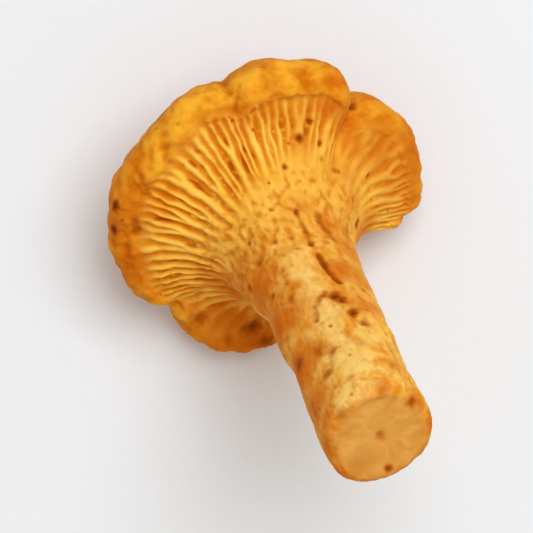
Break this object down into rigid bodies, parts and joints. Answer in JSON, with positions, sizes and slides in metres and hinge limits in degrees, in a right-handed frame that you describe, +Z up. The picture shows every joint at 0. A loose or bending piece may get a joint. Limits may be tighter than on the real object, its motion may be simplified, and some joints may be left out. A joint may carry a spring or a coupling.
{
  "type": "chanterelle mushroom",
  "caption": "One golden chanterelle with a wavy rolled cap, forked ridges running down on to the stem, and a cut stem end, lying cap down on a surface.",
  "frame": {"origin": "on the surface that the mushroom lies on, under the middle of its bounding box", "axes": "+Z up from that surface. The stem leans 40 degrees from +Z, mostly towards -Y and a little towards +X, and the side where the ridges show faces up and towards +Y and -X"},
  "size_m": [0.0414, 0.0538, 0.0558],
  "materials": {
    "mushroom_flesh": "soft matt golden orange flesh, paler on the stem, with lighter ridges over deeper orange valleys"
  },
  "bodies": {
    "root": {"chanterelle": "mushroom_flesh"}
  },
  "joints": []
}
